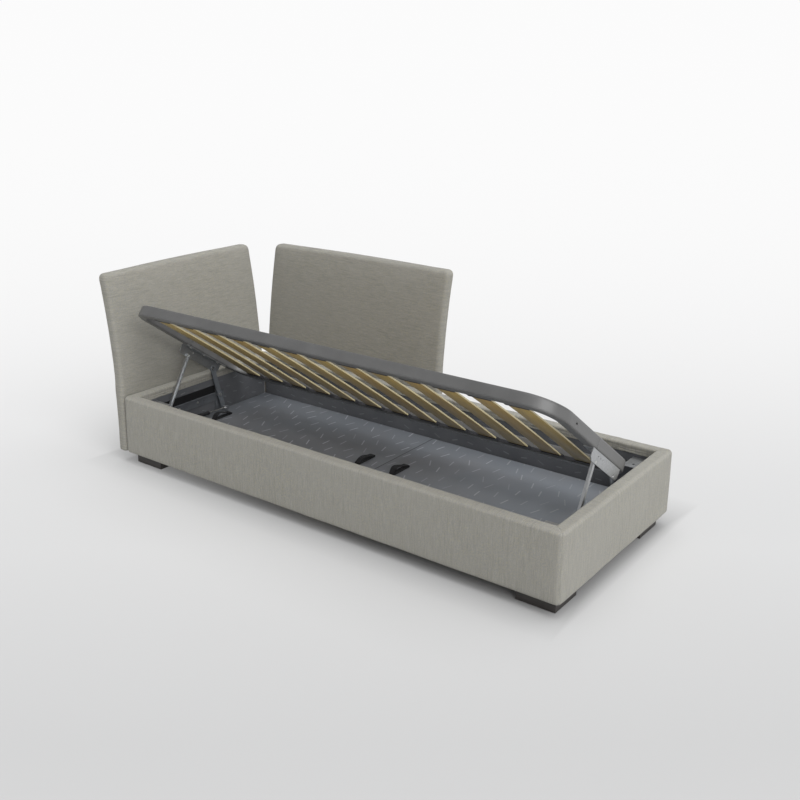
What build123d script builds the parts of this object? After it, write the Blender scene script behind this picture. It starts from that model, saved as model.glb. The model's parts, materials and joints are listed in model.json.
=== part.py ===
from build123d import *

import os
from math import asin, atan2, cos, degrees, hypot, radians, sin

# Storage sofa bed: an upholstered box on four feet with two leaning headboards, and a
# slatted platform that a pair of four-bar lifters carries up and forward over the box.
# Lengths are millimetres. The origin is on the floor, under the middle of the whole piece.
# X runs along the bed, Y to the rear, Z up. It is drawn as it stands open.

# Clearances and overruns
cut_over = 5
seam_gap = 0.3
layer_gap = 0.3
pin_clearance = 0.05
screw_clearance = 0.1

# Upholstered box
base_length = 2120
base_width = 900
foot_height = 50
rail_top = 310
pad_thickness = 15
top_pad = 12
bottom_fold = 5
board_thickness = 30
lining_thickness = 3
lip_thickness = 2
lip_drop = 27
cover_top_round = 10
cover_corner_round = 14
cover_bottom_round = 8
lip_round = 6

# Feet and what they carry
foot_side = 150
foot_inset_end = 30
foot_inset_front = 38
foot_bevel = 3
block_side = 130
cleat_side = 25
beam_width = 80
beam_height = 30

# Floor of the storage space
floor_top = 110
floor_thickness = 12
floor_seam = 1
floor_end_gap = 1.5
floor_side_gap = 2
strap_width = 25
strap_thickness = 2
strap_length = 110
strap_tab = 22
strap_rise = 24
strap_middle_inset = 90
strap_end_inset = 80
strap_offset_rear = 20

# Corner plates that the closed platform rests on
corner_plate_length = 90
corner_plate_depth = 102
corner_plate_thickness = 3
corner_flange_drop = 30
corner_hole_radius = 6
corner_hole_inset_end = 59
corner_hole_inset_side = 70

# Headboards
headboard_thickness = 52
headboard_top = 850
headboard_shoulder = 844
headboard_corner_round = 25
headboard_edge_round = 16
headboard_bend_height = 120
headboard_lean_radius = 3300
headboard_core_thickness = 18
headboard_core_inset = 17
headboard_core_lift = 4
end_headboard_width = 900
side_headboard_width = 1030
side_headboard_start = 10
bolt_radius = 4
bolt_head_radius = 9
bolt_head_height = 5
bolt_low = 145
bolt_high = 235
bolt_column_share = 0.3

# Platform
platform_end_gap = 7
platform_depth = 778
platform_corner = 124
tube_width = 40
tube_height = 45
tube_wall = 2
tube_edge_round = 5
tube_joint = 0.4
sleeve_length = 120
sleeve_wall = 2
sleeve_clearance = 0.15
stop_slot_length = 12
stop_slot_height = 5
stop_slot_place = 600
tilt_open = 34.65
open_edge_y = 194
open_edge_z = 261
closed_bottom = 262

# Slats and their holders
slat_count = 13
first_slat_inset = 162
slat_width = 80
slat_thickness = 6
slat_camber = 4
slat_end_inset = 44
slat_lift = 6
holder_thickness = 3
holder_height = 12
holder_lift = 3
holder_reach = 24
holder_side = 4
holder_clearance = 0.2

# Lifter, in layers from the end wall inwards
bracket_thickness = 3
arm_thickness = 4
plate_thickness = 4
plate_wall_gap = 4.6
link_depth = 10
link_gauge = 1.5
plate_start = 130
plate_end = 408
plate_drop = 45
plate_flange_gauge = 3
plate_relief_width = 6
plate_relief_length = 44
plate_relief_depth = 187
plate_bevel = 12
plate_hole_radius = 3.5
plate_hole_drop = 16
plate_hole_shares = (0.62, 0.70, 0.78)
arm_pivot_depth = 174
arm_pivot_drop = 35
link_pivot_depth = 355
link_pivot_drop = 38
arm_length = 146
arm_lever = 66
arm_width = 25
link_length = 320
link_width = 16
pin_radius = 5
pin_head_radius = 6.2
pin_head_height = 4
spacer_radius = 9
arm_pin_radius = 6
arm_pin_head_radius = 8
arm_pin_head_height = 3.5

# Base bracket, as heights and places in the side view
bracket_front = -300
bracket_rear = 110
bracket_low = 165
bracket_high = 205
bracket_back_high = 241
bracket_lug_end = -222
bracket_lug_low = 122
bracket_post_front = 52
bracket_post_rear = 96
bracket_post_low = 112
bracket_flange_rear = 45
bracket_flange_gauge = 3
bracket_hole_place = -20
bracket_hole_radius = 4
wall_screw_places = (-285, -175, -60)
screw_radius = 2.5
screw_head_radius = 5.5
screw_head_height = 2.5
wall_screw_length = 21
corner_screw_spacing = 42
plate_screw_shares = (0.15, 0.5, 0.85)

# Gas springs
gas_anchor_y = -240
gas_anchor_z = 138
gas_axis_inset = 36
gas_tube_radius = 9.5
gas_tube_bore = 7.5
gas_tube_start = 16
gas_tube_end = 215
gas_cap = 4
gas_neck_radius = 5
gas_eye_radius = 10
gas_eye_width = 20
gas_stud_radius = 4
gas_rod_radius = 4
gas_rod_length = 130
gas_piston_length = 6
gas_piston_clearance = 0.1

half_length = base_length / 2
half_width = base_width / 2
board_bottom = foot_height + bottom_fold
board_top = rail_top - top_pad
board_inset = pad_thickness + board_thickness
lining_inset = board_inset + lining_thickness
lip_inset = lining_inset + lip_thickness
wall_x = half_length - lining_inset
wall_y = half_width - lining_inset
floor_bottom = floor_top - floor_thickness
platform_length = base_length - 2 * (lining_inset + platform_end_gap)
slat_pitch = (platform_length - 2 * first_slat_inset) / (slat_count - 1)

# How far the headboards stand out at their top
lean_top = asin((headboard_top - headboard_edge_round - headboard_bend_height)
                / (headboard_lean_radius - headboard_thickness))
outer_lean = headboard_lean_radius - headboard_thickness
headboard_reach = seam_gap + headboard_lean_radius - outer_lean * cos(lean_top)
middle_x = headboard_reach / 2
middle_y = -headboard_reach / 2

SIDES = {"left": -1, "right": 1}
ENDS = {"front": -1, "rear": 1}

os.makedirs("parts", exist_ok=True)


def keep(builder, label):
    """Name a finished piece and write it out."""
    builder.part.label = label
    export_step(builder.part, f"parts/{label}.step")


def level(height):
    """Horizontal plane at a height, with its origin under the middle of the box."""
    return Plane(origin=(middle_x, middle_y, height))


def side_view(x):
    """Vertical plane across the bed: its x axis points to the rear, its y axis up."""
    return Plane(origin=(middle_x + x, middle_y, 0), x_dir=(0, 1, 0), z_dir=(1, 0, 0))


def block(plane, width, depth, height, place=(0, 0), mode=Mode.ADD):
    """Rectangle on a plane, pulled up into a block."""
    with BuildSketch(plane) as outline:
        with Locations(place):
            Rectangle(width, depth)
    extrude(outline.sketch, amount=height, mode=mode)


def rod(plane, radius, length, places=((0, 0),), mode=Mode.ADD):
    """Round bars or holes standing on a plane."""
    with BuildSketch(plane) as outline:
        with Locations(*places):
            Circle(radius)
    extrude(outline.sketch, amount=length, mode=mode)


# Screws through the end walls: into the base brackets and the corner plates
bracket_screw_z = (bracket_low + bracket_high) / 2
corner_screw_z = closed_bottom - layer_gap - corner_plate_thickness - corner_flange_drop / 2
corner_screw_y = wall_y - corner_plate_depth / 2
bracket_screws = [(y, bracket_screw_z) for y in wall_screw_places]
corner_screws = [
    (end * corner_screw_y + shift * corner_screw_spacing / 2, corner_screw_z)
    for end in ENDS.values()
    for shift in (-1, 1)
]
wall_screws = bracket_screws + corner_screws
wall_screw_hole = screw_radius + screw_clearance

# Headboards stand on planes that face outwards from the box
end_face = Plane(
    origin=(middle_x - half_length, middle_y, 0), x_dir=(0, -1, 0), z_dir=(-1, 0, 0)
)
side_headboard_middle = side_headboard_start + side_headboard_width / 2 - half_length
side_face = Plane(
    origin=(middle_x + side_headboard_middle, middle_y + half_width, 0),
    x_dir=(-1, 0, 0),
    z_dir=(0, 1, 0),
)


def bolt_places(width):
    """Two columns and two rows of bolts behind a headboard."""
    column = bolt_column_share * width
    return [(side * column, row) for side in (-1, 1) for row in (bolt_low, bolt_high)]


HEADBOARDS = {"end": (end_face, end_headboard_width), "side": (side_face, side_headboard_width)}
bolt_recess_depth = bolt_head_height + screw_clearance
bolt_tip = headboard_core_inset + headboard_core_thickness


def cut_bolt_holes(face, width):
    """Holes for the headboard bolts, with a recess for each head in the rail's inner face."""
    places = bolt_places(width)
    start = face.offset(-board_inset)
    rod(start.offset(-cut_over), bolt_radius + screw_clearance,
        cut_over + board_inset + bolt_tip, places, Mode.SUBTRACT)
    rod(start, bolt_head_radius + screw_clearance, bolt_recess_depth, places, Mode.SUBTRACT)


# Rails
board_height = board_top - board_bottom
for name, sign in ENDS.items():
    with BuildPart() as rail:
        rail_y = sign * (half_width - pad_thickness - board_thickness / 2)
        block(level(board_bottom), base_length - 2 * pad_thickness, board_thickness,
              board_height, (0, rail_y))
        if name == "rear":
            cut_bolt_holes(side_face, side_headboard_width)
    keep(rail, f"{name}_rail")

for name, sign in SIDES.items():
    with BuildPart() as rail:
        rail_x = sign * (half_length - pad_thickness - board_thickness / 2)
        block(level(board_bottom), board_thickness, base_width - 2 * board_inset,
              board_height, (rail_x, 0))
        rod(side_view(sign * (wall_x - cut_over)), wall_screw_hole,
            sign * (cut_over + wall_screw_length), wall_screws, Mode.SUBTRACT)
        if name == "left":
            cut_bolt_holes(end_face, end_headboard_width)
    keep(rail, f"{name}_rail")


# Linings
lining_height = board_top - floor_bottom
for name, sign in ENDS.items():
    with BuildPart() as lining:
        lining_y = sign * (wall_y + lining_thickness / 2)
        block(level(floor_bottom), 2 * (wall_x + lining_thickness), lining_thickness,
              lining_height, (0, lining_y))
    keep(lining, f"{name}_lining")

for name, sign in SIDES.items():
    with BuildPart() as lining:
        lining_x = sign * (wall_x + lining_thickness / 2)
        block(level(floor_bottom), lining_thickness, 2 * wall_y, lining_height, (lining_x, 0))
        rod(side_view(sign * (wall_x - cut_over)), wall_screw_hole,
            sign * (2 * cut_over + lining_thickness), wall_screws, Mode.SUBTRACT)
    keep(lining, f"{name}_lining")


# Covers: one padded ring, cut at the mitred corners
def cut_inside(inset, bottom, top):
    """Clear the space inside a given wall depth between two heights."""
    block(level(bottom), 2 * (half_length - inset), 2 * (half_width - inset),
          top - bottom, mode=Mode.SUBTRACT)


with BuildPart() as cover_ring:
    with BuildSketch(level(foot_height)):
        RectangleRounded(base_length, base_width, cover_corner_round)
    extrude(amount=rail_top - foot_height)
    fillet(cover_ring.faces().sort_by(Axis.Z)[-1].edges(), cover_top_round)
    fillet(cover_ring.faces().sort_by(Axis.Z)[0].edges(), cover_bottom_round)
    cut_inside(lip_inset, foot_height - cut_over, rail_top + cut_over)
    top_edges = cover_ring.faces().sort_by(Axis.Z)[-1].inner_wires()[0].edges()
    fillet(top_edges, lip_round)
    cut_inside(lining_inset, foot_height - cut_over, rail_top - lip_drop)
    cut_inside(board_inset, foot_height - cut_over, board_bottom)
    with BuildSketch(level(board_bottom)):
        Rectangle(base_length - 2 * pad_thickness, base_width - 2 * pad_thickness)
        Rectangle(2 * wall_x, 2 * wall_y, mode=Mode.SUBTRACT)
    extrude(amount=board_height, mode=Mode.SUBTRACT)

mitre_depth = lip_inset + cut_over


def mitre_wedge(run, side, across):
    """Plan of one wall with mitred ends; across turns it onto the short walls."""
    far_run = run + cut_over - seam_gap / 2
    near_run = run - mitre_depth - seam_gap / 2
    far_side = side * ((half_length if across else half_width) + cut_over)
    near_side = side * ((half_length if across else half_width) - mitre_depth)
    corners = [(-far_run, far_side), (far_run, far_side), (near_run, near_side), (-near_run, near_side)]
    if across:
        corners = [(y, x) for x, y in corners]
    with BuildSketch(level(foot_height - cut_over)) as wedge:
        with BuildLine():
            Polyline(*corners, close=True)
        make_face()
    extrude(wedge.sketch, amount=rail_top - foot_height + 2 * cut_over, mode=Mode.INTERSECT)


for name, sign in ENDS.items():
    with BuildPart() as cover:
        add(cover_ring.part)
        mitre_wedge(half_length, sign, across=False)
        if name == "rear":
            cut_bolt_holes(side_face, side_headboard_width)
    keep(cover, f"{name}_cover")

for name, sign in SIDES.items():
    with BuildPart() as cover:
        add(cover_ring.part)
        mitre_wedge(half_width, sign, across=True)
        if name == "left":
            cut_bolt_holes(end_face, end_headboard_width)
    keep(cover, f"{name}_cover")


# Feet, corner blocks, cleats and the beam under the floor's seam
foot_x = half_length - foot_inset_end - foot_side / 2
foot_y = half_width - foot_inset_front - foot_side / 2
for end_name, end in ENDS.items():
    for side_name, side in SIDES.items():
        with BuildPart() as foot:
            block(level(0), foot_side, foot_side, foot_height, (side * foot_x, end * foot_y))
            chamfer(foot.faces().sort_by(Axis.Z)[0].edges(), foot_bevel)
        keep(foot, f"foot_{end_name}_{side_name}")

board_inner_x = half_length - board_inset
board_inner_y = half_width - board_inset
support_height = floor_bottom - foot_height
with BuildPart() as corner_blocks:
    for end in ENDS.values():
        for side in SIDES.values():
            place = (side * (board_inner_x - block_side / 2), end * (board_inner_y - block_side / 2))
            block(level(foot_height), block_side, block_side, support_height, place)
keep(corner_blocks, "corner_blocks")

cleat_bottom = floor_bottom - cleat_side
with BuildPart() as floor_cleats:
    for sign in (-1, 1):
        block(level(cleat_bottom), 2 * (board_inner_x - block_side), cleat_side, cleat_side,
              (0, sign * (board_inner_y - cleat_side / 2)))
        block(level(cleat_bottom), cleat_side, 2 * (board_inner_y - block_side), cleat_side,
              (sign * (board_inner_x - cleat_side / 2), 0))
keep(floor_cleats, "floor_cleats")

with BuildPart() as centre_beam:
    block(level(floor_bottom - beam_height), beam_width, 2 * (board_inner_y - cleat_side), beam_height)
keep(centre_beam, "centre_beam")


# Floor panels and their pull loops
panel_end = wall_x - floor_end_gap
panel_length = panel_end - floor_seam / 2
for name, sign in SIDES.items():
    with BuildPart() as floor_panel:
        block(level(floor_bottom), panel_length, 2 * (wall_y - floor_side_gap), floor_thickness,
              (sign * (panel_end - panel_length / 2), 0))
    keep(floor_panel, f"floor_panel_{name}")

strap_half = strap_length / 2
strap_foot = strap_half - strap_tab
strap_inner_rise = strap_rise - strap_thickness
strap_bow = (strap_foot**2 + strap_inner_rise**2) / (2 * strap_inner_rise)
strap_bow_centre = strap_inner_rise - strap_bow
strap_outer_foot = ((strap_bow + strap_thickness) ** 2 - (strap_thickness - strap_bow_centre) ** 2) ** 0.5


def pull_loop(x):
    """Strap that lies flat at both ends and bows up between them."""
    strap_plane = side_view(x).shift_origin(
        (middle_x + x, middle_y + strap_offset_rear, floor_top)
    )
    with BuildSketch(strap_plane) as strap:
        with BuildLine():
            Polyline((-strap_foot, 0), (-strap_half, 0), (-strap_half, strap_thickness),
                     (-strap_outer_foot, strap_thickness))
            ThreePointArc((-strap_outer_foot, strap_thickness), (0, strap_rise),
                          (strap_outer_foot, strap_thickness))
            Polyline((strap_outer_foot, strap_thickness), (strap_half, strap_thickness),
                     (strap_half, 0), (strap_foot, 0))
            ThreePointArc((strap_foot, 0), (0, strap_inner_rise), (-strap_foot, 0))
        make_face()
    extrude(strap.sketch, amount=strap_width / 2, both=True)


strap_places = {"middle": strap_middle_inset, "end": wall_x - strap_end_inset}
for side_name, side in SIDES.items():
    for place_name, place in strap_places.items():
        with BuildPart() as loop:
            pull_loop(side * place)
        keep(loop, f"pull_loop_{side_name}_{place_name}")


# Corner plates
corner_top = closed_bottom - layer_gap
for end_name, end in ENDS.items():
    for side_name, side in SIDES.items():
        with BuildPart() as corner_plate:
            block(level(corner_top - corner_plate_thickness), corner_plate_length,
                  corner_plate_depth, corner_plate_thickness,
                  (side * (wall_x - corner_plate_length / 2), end * corner_screw_y))
            block(level(corner_top - corner_plate_thickness - corner_flange_drop),
                  bracket_thickness, corner_plate_depth, corner_flange_drop,
                  (side * (wall_x - bracket_thickness / 2), end * corner_screw_y))
            hole = (side * (wall_x - corner_hole_inset_end), end * (wall_y - corner_hole_inset_side))
            rod(level(corner_top - corner_plate_thickness - cut_over), corner_hole_radius,
                corner_plate_thickness + 2 * cut_over, [hole], Mode.SUBTRACT)
            rod(side_view(side * (wall_x - bracket_thickness - cut_over)), wall_screw_hole,
                side * (bracket_thickness + 2 * cut_over), corner_screws, Mode.SUBTRACT)
        keep(corner_plate, f"corner_plate_{end_name}_{side_name}")


# Headboards
def lean_point(depth, angle):
    """Point at a depth behind the inner face, at an angle round the lean's centre."""
    radius = headboard_lean_radius - depth
    across = seam_gap + headboard_lean_radius - radius * cos(angle)
    return (across, headboard_bend_height + radius * sin(angle))


def headboard_slab(face, width, near, far, inset, bottom):
    """Leaning slab between two depths, drawn in from the outline of the headboard."""
    section = Plane(origin=face.origin, x_dir=face.z_dir, z_dir=-face.x_dir)
    top_angle = asin((headboard_top + cut_over - headboard_bend_height) / outer_lean)
    half = width / 2 - inset
    with BuildPart() as slab:
        with BuildSketch(section):
            with BuildLine():
                Line((seam_gap + near, bottom), lean_point(near, 0))
                ThreePointArc(lean_point(near, 0), lean_point(near, top_angle / 2),
                              lean_point(near, top_angle))
                Line(lean_point(near, top_angle), lean_point(far, top_angle))
                ThreePointArc(lean_point(far, top_angle), lean_point(far, top_angle / 2),
                              lean_point(far, 0))
                Polyline(lean_point(far, 0), (seam_gap + far, bottom), (seam_gap + near, bottom))
            make_face()
        extrude(amount=half, both=True)
        with BuildSketch(face) as outline:
            with BuildLine():
                Polyline((-half, headboard_shoulder - inset), (-half, bottom), (half, bottom),
                         (half, headboard_shoulder - inset))
                ThreePointArc((half, headboard_shoulder - inset), (0, headboard_top - inset),
                              (-half, headboard_shoulder - inset))
            make_face()
            fillet(outline.vertices().group_by(Axis.Y)[-1], headboard_corner_round - inset)
        extrude(amount=headboard_reach + cut_over, mode=Mode.INTERSECT)
    return slab.part


core_near = headboard_core_inset
core_far = headboard_core_inset + headboard_core_thickness
core_bottom = foot_height + headboard_core_lift
for name, (face, width) in HEADBOARDS.items():
    with BuildPart() as core:
        add(headboard_slab(face, width, core_near, core_far, headboard_core_inset, core_bottom))
        cut_bolt_holes(face, width)
    keep(core, f"headboard_{name}_core")

    with BuildPart() as padded:
        add(headboard_slab(face, width, 0, headboard_thickness, 0, foot_height))
        lower = foot_height + headboard_corner_round
        rounded = [
            edge
            for edge in padded.edges()
            if edge.bounding_box().max.Z > lower and edge.bounding_box().size.length > headboard_thickness * 2
        ]
        fillet(rounded, headboard_edge_round)
        add(
            headboard_slab(face, width, core_near - seam_gap, core_far + seam_gap,
                           headboard_core_inset - seam_gap, foot_height - cut_over),
            mode=Mode.SUBTRACT,
        )
        cut_bolt_holes(face, width)
    keep(padded, f"headboard_{name}_cover")

with BuildPart() as headboard_bolts:
    for face, width in HEADBOARDS.values():
        places = bolt_places(width)
        seat = face.offset(-board_inset)
        rod(seat, bolt_head_radius, bolt_head_height, places)
        rod(seat, bolt_radius, board_inset + bolt_tip, places)
keep(headboard_bolts, "headboard_bolts")


# Platform, in its own tilted plane: x along the bed, y to the rear, normal up
tilt = radians(tilt_open)
closed_edge_y = platform_depth / 2


def platform_point(depth, rise, angle=tilt, edge_y=open_edge_y, edge_z=open_edge_z):
    """Side-view place of a point given by its depth from the rear edge and its rise."""
    return (
        edge_y - depth * cos(angle) + rise * sin(angle),
        edge_z + depth * sin(angle) + rise * cos(angle),
    )


def platform_plane(rise):
    """Tilted plane at a rise above the frame's underside, centred on the platform."""
    y, z = platform_point(platform_depth / 2, rise)
    return Plane(origin=(middle_x, middle_y + y, z), x_dir=(1, 0, 0), z_dir=(0, sin(tilt), cos(tilt)))


def platform_section(x):
    """Side-view plane whose x axis runs down the platform from front to rear."""
    y, z = platform_point(platform_depth / 2, 0)
    return Plane(
        origin=(middle_x + x, middle_y + y, z), x_dir=(0, cos(tilt), -sin(tilt)), z_dir=(1, 0, 0)
    )


def frame_band(outer_inset, inner_inset):
    """Sketch of a band that follows the frame's outline."""
    RectangleRounded(platform_length - 2 * outer_inset, platform_depth - 2 * outer_inset,
                     platform_corner - outer_inset)
    RectangleRounded(platform_length - 2 * inner_inset, platform_depth - 2 * inner_inset,
                     platform_corner - inner_inset, mode=Mode.SUBTRACT)


platform_normal = Axis(platform_plane(0).origin, platform_plane(0).z_dir)
tube_middle_x = platform_length / 2 - tube_width / 2
plate_length = plate_end - plate_start
plate_middle = platform_depth / 2 - (plate_start + plate_end) / 2
plate_screw_places = [
    (side * tube_middle_x, plate_middle + (share - 0.5) * plate_length)
    for side in SIDES.values()
    for share in plate_screw_shares
]
plate_screw_length = plate_flange_gauge + tube_wall

with BuildPart() as frame_ring:
    with BuildSketch(platform_plane(0)):
        frame_band(0, tube_width)
    extrude(amount=tube_height)
    faces = frame_ring.faces().sort_by(platform_normal)
    fillet(faces[0].edges() + faces[-1].edges(), tube_edge_round)
    with BuildSketch(platform_plane(tube_wall)):
        frame_band(tube_wall, tube_width - tube_wall)
    extrude(amount=tube_height - 2 * tube_wall, mode=Mode.SUBTRACT)
    rod(platform_plane(-cut_over), screw_radius + screw_clearance, tube_wall + cut_over,
        plate_screw_places, Mode.SUBTRACT)
    with BuildSketch(platform_section(-platform_length / 2 - cut_over)):
        with Locations((platform_depth / 2 - stop_slot_place, tube_height / 2)):
            Rectangle(stop_slot_length, stop_slot_height)
    extrude(amount=tube_wall + 2 * cut_over, mode=Mode.SUBTRACT)
    with BuildSketch(platform_section(platform_length / 2 + cut_over)):
        with Locations((platform_depth / 2 - stop_slot_place, tube_height / 2)):
            Rectangle(stop_slot_length, stop_slot_height)
    extrude(amount=-tube_wall - 2 * cut_over, mode=Mode.SUBTRACT)

for name, sign in ENDS.items():
    with BuildPart() as frame_half:
        add(frame_ring.part)
        half_depth = platform_depth / 2
        block(platform_plane(-cut_over), platform_length + 2 * cut_over, half_depth,
              tube_height + 2 * cut_over,
              (0, sign * (tube_joint / 2 + half_depth / 2)), Mode.INTERSECT)
    keep(frame_half, f"frame_{name}")

sleeve_width = tube_width - 2 * tube_wall - 2 * sleeve_clearance
sleeve_height = tube_height - 2 * tube_wall - 2 * sleeve_clearance
sleeve_bottom = platform_plane(tube_wall + sleeve_clearance)
with BuildPart() as frame_sleeves:
    for side in SIDES.values():
        block(sleeve_bottom, sleeve_width, sleeve_length, sleeve_height, (side * tube_middle_x, 0))
        block(sleeve_bottom.offset(sleeve_wall), sleeve_width - 2 * sleeve_wall,
              sleeve_length + 2 * cut_over, sleeve_height - 2 * sleeve_wall,
              (side * tube_middle_x, 0), Mode.SUBTRACT)
keep(frame_sleeves, "frame_sleeves")


# Slats
slat_half = platform_depth / 2 - slat_end_inset
slat_places = [(i - (slat_count - 1) / 2) * slat_pitch for i in range(slat_count)]


def slat_strip(place, growth, mode=Mode.ADD):
    """Cambered strip across the platform, grown all round by a clearance."""
    half = slat_half + growth
    low = slat_lift - growth
    high = slat_lift + slat_thickness + growth
    with BuildSketch(platform_section(place)) as bow:
        with BuildLine():
            ThreePointArc((-half, low), (0, low + slat_camber), (half, low))
            Line((half, low), (half, high))
            ThreePointArc((half, high), (0, high + slat_camber), (-half, high))
            Line((-half, high), (-half, low))
        make_face()
    extrude(bow.sketch, amount=slat_width / 2 + growth, both=True, mode=mode)


with BuildPart() as slats:
    for place in slat_places:
        slat_strip(place, 0)
keep(slats, "slats")

holder_start = platform_depth / 2 - tube_width - seam_gap
holder_run = 2 * (slat_places[-1] + slat_width / 2 + holder_side)
for name, sign in ENDS.items():
    with BuildPart() as holder:
        block(platform_plane(holder_lift), holder_run, holder_thickness, holder_height,
              (0, sign * (holder_start - holder_thickness / 2)))
        for place in slat_places:
            block(platform_plane(holder_lift), slat_width + 2 * holder_side, holder_reach,
                  holder_height, (place, sign * (holder_start - holder_reach / 2)))
        for place in slat_places:
            slat_strip(place, holder_clearance, Mode.SUBTRACT)
    keep(holder, f"slat_holder_{name}")


# Lifter layers, as distances from the middle of the bed
bracket_face = wall_x - bracket_thickness
plate_outer = bracket_face - plate_wall_gap
plate_inner = plate_outer - plate_thickness
link_outer = plate_inner - layer_gap
link_inner = link_outer - link_depth
web_inner = link_outer - link_gauge
arm_outer = link_outer
arm_inner = arm_outer - arm_thickness
gas_middle = wall_x - gas_axis_inset
gas_outer = gas_middle + gas_eye_width / 2
gas_inner = gas_middle - gas_eye_width / 2


def circle_centre(first, second, radius):
    """The lower of the two centres of a circle of this radius through two points."""
    dy = second[0] - first[0]
    dz = second[1] - first[1]
    chord = hypot(dy, dz)
    height = (radius**2 - chord**2 / 4) ** 0.5
    side = 1 if dy < 0 else -1
    return (
        (first[0] + second[0]) / 2 - side * height * dz / chord,
        (first[1] + second[1]) / 2 + side * height * dy / chord,
    )


def closed_point(depth, rise):
    """Place of a platform point when the platform lies closed."""
    return platform_point(depth, rise, 0, closed_edge_y, closed_bottom)


def bearing(start, end):
    """Angle of the line between two side-view points, in degrees."""
    return degrees(atan2(end[1] - start[1], end[0] - start[0]))


def between(start, end, share):
    """Point a share of the way from one side-view point to another."""
    return (start[0] + share * (end[0] - start[0]), start[1] + share * (end[1] - start[1]))


arm_top = platform_point(arm_pivot_depth, -arm_pivot_drop)
link_top = platform_point(link_pivot_depth, -link_pivot_drop)
arm_pivot = circle_centre(arm_top, closed_point(arm_pivot_depth, -arm_pivot_drop), arm_length)
link_pivot = circle_centre(link_top, closed_point(link_pivot_depth, -link_pivot_drop), link_length)
lever_tip = between(arm_pivot, arm_top, -arm_lever / arm_length)
gas_anchor = (gas_anchor_y, gas_anchor_z)
gas_angle = radians(bearing(gas_anchor, lever_tip))
gas_open_length = hypot(lever_tip[0] - gas_anchor[0], lever_tip[1] - gas_anchor[1])
pin_hole = pin_radius + pin_clearance
arm_pin_hole = arm_pin_radius + pin_clearance


# Brackets on the end walls, with the studs of the gas springs
def bracket_area(y_low, y_high, z_low, z_high):
    """Rectangle of the bracket, in the side view."""
    with Locations(((y_low + y_high) / 2, (z_low + z_high) / 2)):
        Rectangle(y_high - y_low, z_high - z_low)


for name, side in SIDES.items():
    with BuildPart() as bracket:
        with BuildSketch(side_view(side * bracket_face)):
            bracket_area(bracket_front, bracket_rear, bracket_low, bracket_high)
            bracket_area(bracket_front, bracket_post_front, bracket_low, bracket_back_high)
            bracket_area(bracket_front, bracket_lug_end, bracket_lug_low, bracket_high)
            bracket_area(bracket_post_front, bracket_post_rear, bracket_post_low, bracket_high)
            with Locations(*bracket_screws):
                Circle(wall_screw_hole, mode=Mode.SUBTRACT)
            with Locations(link_pivot):
                Circle(pin_hole, mode=Mode.SUBTRACT)
            with Locations(arm_pivot):
                Circle(arm_pin_hole, mode=Mode.SUBTRACT)
            with Locations((bracket_hole_place, bracket_screw_z)):
                Circle(bracket_hole_radius, mode=Mode.SUBTRACT)
        extrude(amount=side * bracket_thickness)
        with BuildSketch(side_view(side * (link_outer + layer_gap))):
            bracket_area(bracket_front, bracket_flange_rear,
                         bracket_high - bracket_flange_gauge, bracket_high)
        extrude(amount=side * (bracket_face - link_outer - layer_gap))
        rod(side_view(side * gas_inner), gas_stud_radius, side * (bracket_face - gas_inner), [gas_anchor])
    keep(bracket, f"base_bracket_{name}")

with BuildPart() as wall_screw_set:
    for side in SIDES.values():
        seat = side_view(side * bracket_face)
        rod(seat, screw_head_radius, -side * screw_head_height, wall_screws)
        rod(seat, screw_radius, side * wall_screw_length, wall_screws)
keep(wall_screw_set, "wall_screws")


# Rear arms with their levers, and front links of channel
for name, side in SIDES.items():
    with BuildPart() as rear_arm:
        with BuildSketch(side_view(side * arm_inner)):
            with Locations(between(arm_top, lever_tip, 0.5)):
                SlotCenterToCenter(arm_length + arm_lever, arm_width,
                                   rotation=bearing(lever_tip, arm_top))
            with Locations(arm_pivot, arm_top):
                Circle(arm_pin_hole, mode=Mode.SUBTRACT)
        extrude(amount=side * arm_thickness)
        rod(side_view(side * (gas_outer + layer_gap)), gas_stud_radius,
            side * (arm_outer - gas_outer - layer_gap), [lever_tip])
    keep(rear_arm, f"rear_arm_{name}")

    with BuildPart() as front_link:
        link_middle = between(link_pivot, link_top, 0.5)
        link_bearing = bearing(link_pivot, link_top)
        with BuildSketch(side_view(side * link_inner)):
            with Locations(link_middle):
                SlotCenterToCenter(link_length, link_width, rotation=link_bearing)
        extrude(amount=side * link_depth)
        with BuildSketch(side_view(side * link_inner)):
            with Locations(link_middle):
                Rectangle(link_length + 2 * link_width, link_width - 2 * link_gauge,
                          rotation=link_bearing)
        extrude(amount=side * (link_depth - link_gauge), mode=Mode.SUBTRACT)
        rod(side_view(side * web_inner), pin_hole, side * (link_gauge + cut_over),
            [link_pivot, link_top], Mode.SUBTRACT)
    keep(front_link, f"front_link_{name}")


def pivot_pins(label, head_at, head_radius, head_height, radius, tip_at, place):
    """Headed pins, one at each end of the bed, with a spacer on those that reach the wall."""
    with BuildPart() as pins:
        for side in SIDES.values():
            seat = side_view(side * head_at)
            rod(seat, head_radius, -side * head_height, [place])
            rod(seat, radius, side * (tip_at - head_at), [place])
            if tip_at == wall_x:
                rod(side_view(side * (link_outer + layer_gap)), spacer_radius,
                    side * (bracket_face - link_outer - layer_gap), [place])
    keep(pins, label)


pivot_pins("front_link_pins", web_inner, pin_head_radius, pin_head_height, pin_radius, wall_x, link_pivot)
pivot_pins("link_top_pins", web_inner, pin_head_radius, pin_head_height, pin_radius, plate_outer, link_top)
pivot_pins("rear_arm_pins", arm_inner - layer_gap, arm_pin_head_radius, arm_pin_head_height,
           arm_pin_radius, wall_x, arm_pivot)
pivot_pins("arm_top_bolts", arm_inner, arm_pin_head_radius, arm_pin_head_height,
           arm_pin_radius, arm_outer, arm_top)


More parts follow.
